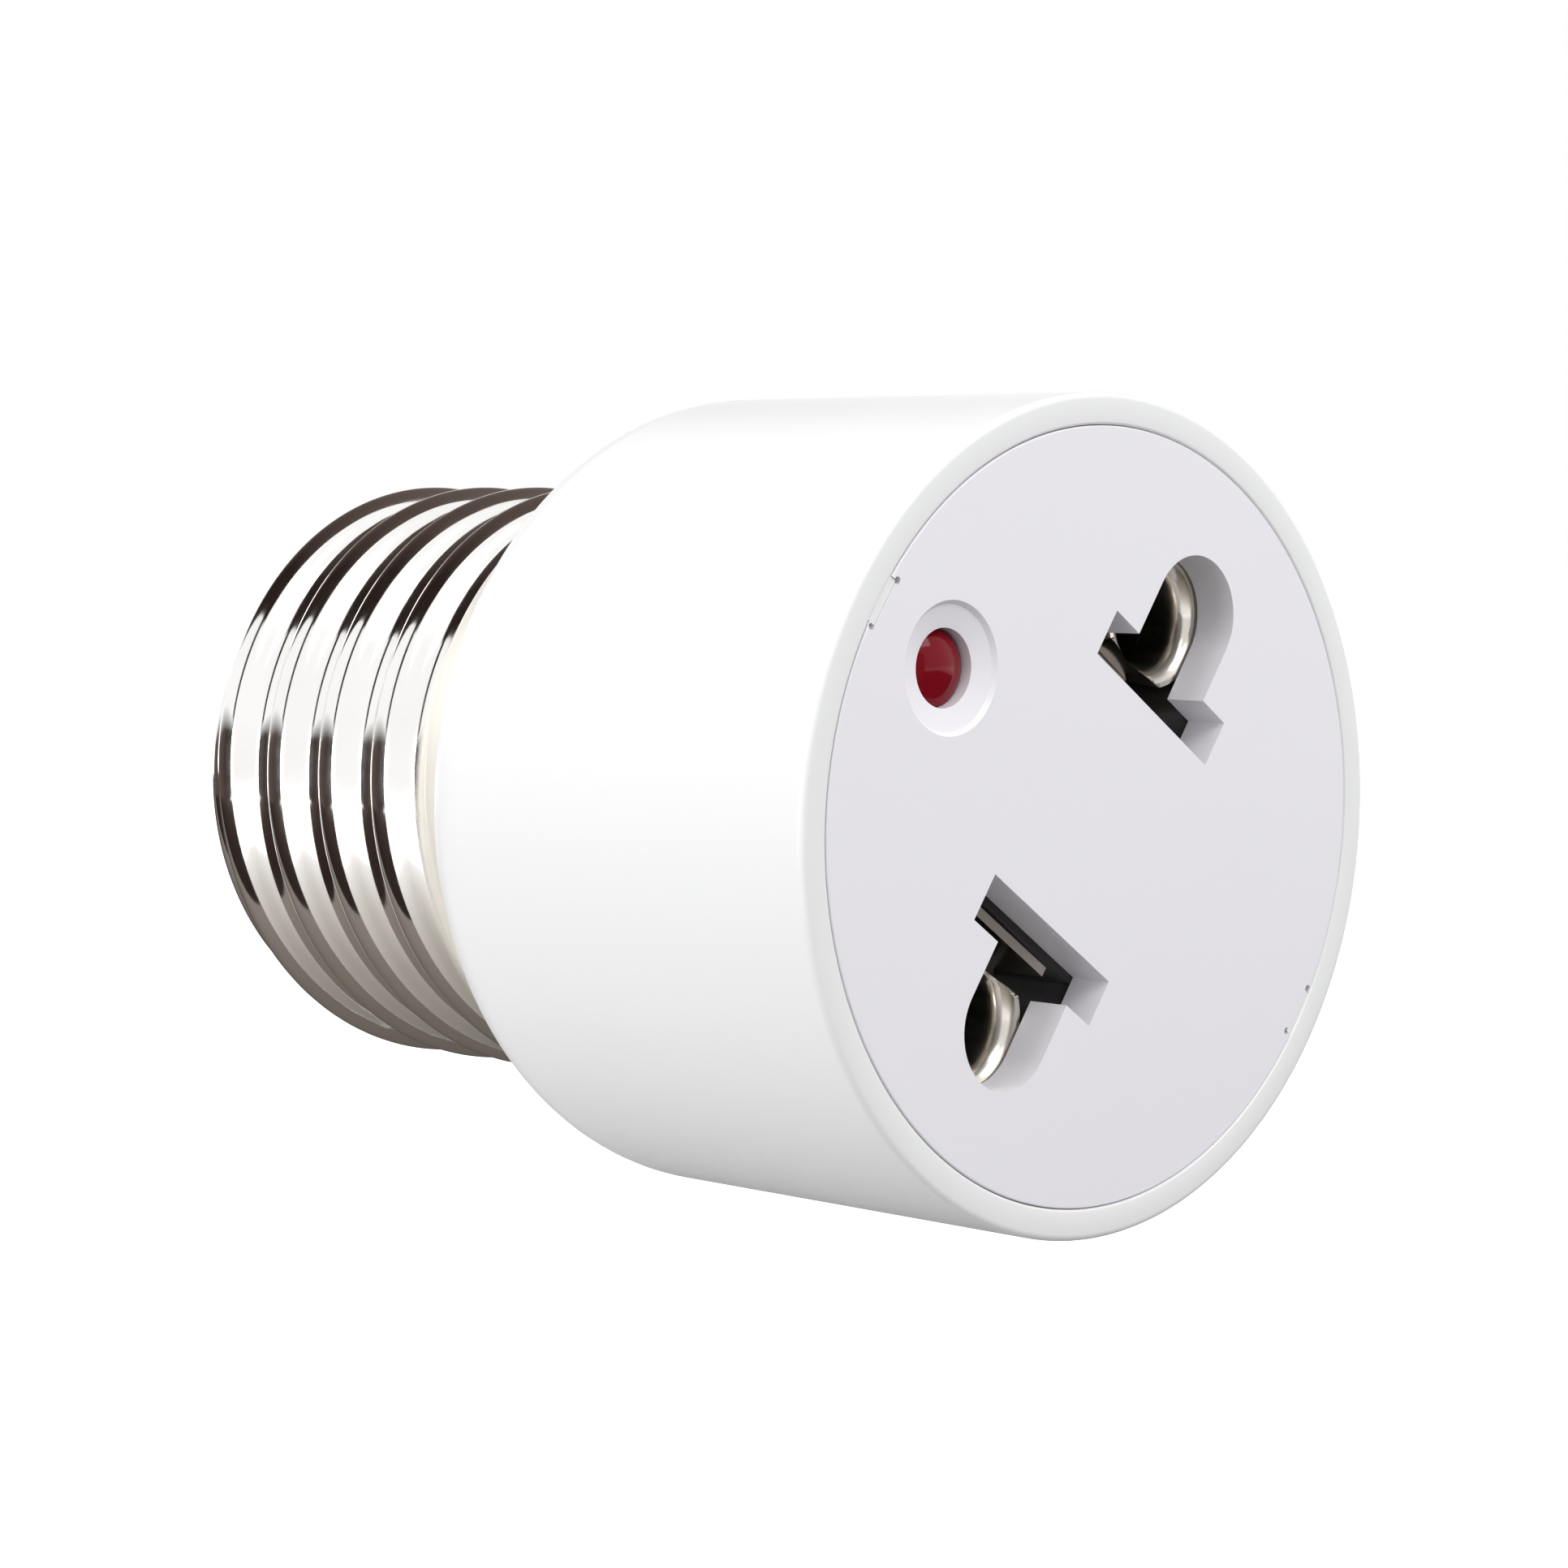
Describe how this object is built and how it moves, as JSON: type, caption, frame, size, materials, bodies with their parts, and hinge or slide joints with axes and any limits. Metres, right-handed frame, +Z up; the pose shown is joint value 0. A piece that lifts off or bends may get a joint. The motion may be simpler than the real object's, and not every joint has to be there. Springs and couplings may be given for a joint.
{
  "type": "lamp socket adapter",
  "caption": "White cylindrical adapter with keyhole plug openings and a red lamp in its face, and a threaded metal screw base at its rear.",
  "frame": {"origin": "centre of the outlet face", "axes": "+Y along the axis of the screw base, from the outlet face into the lamp holder; +Z up and +X to the right of one who looks at the outlet face"},
  "size_m": [0.0336, 0.0479, 0.0336],
  "materials": {
    "housing_white": "glossy moulded white",
    "cover_white": "satin moulded white",
    "carrier_black": "matt moulded black",
    "contact_metal": "nickel-plated strip",
    "shell_nickel": "bright nickel plate",
    "insulator_black": "glossy moulded black",
    "tip_metal": "bright nickel plate",
    "lamp_red": "clear red",
    "resistor_beige": "lacquered",
    "lead_metal": "tinned",
    "sleeve_clear": "soft",
    "wire_copper": "bare copper",
    "insulation_brown": "soft",
    "insulation_blue": "soft",
    "solder_tin": "bright"
  },
  "bodies": {
    "root": {"housing": "housing_white", "front_cover": "cover_white", "contact_carrier": "carrier_black", "live_contact": "contact_metal", "neutral_contact": "contact_metal", "screw_shell": "shell_nickel", "tip_insulator": "insulator_black", "centre_contact": "tip_metal", "indicator_lamp": "lamp_red", "series_resistor": "resistor_beige", "lamp_lead_live": "lead_metal", "lamp_lead_neutral": "lead_metal", "resistor_lead_lamp": "lead_metal", "resistor_lead_live": "lead_metal", "lamp_lead_sleeve": "sleeve_clear", "live_wire_core": "wire_copper", "neutral_wire_core": "wire_copper", "live_wire_insulation": "insulation_brown", "neutral_wire_insulation": "insulation_blue", "solder_live": "solder_tin", "solder_neutral": "solder_tin"}
  },
  "joints": []
}
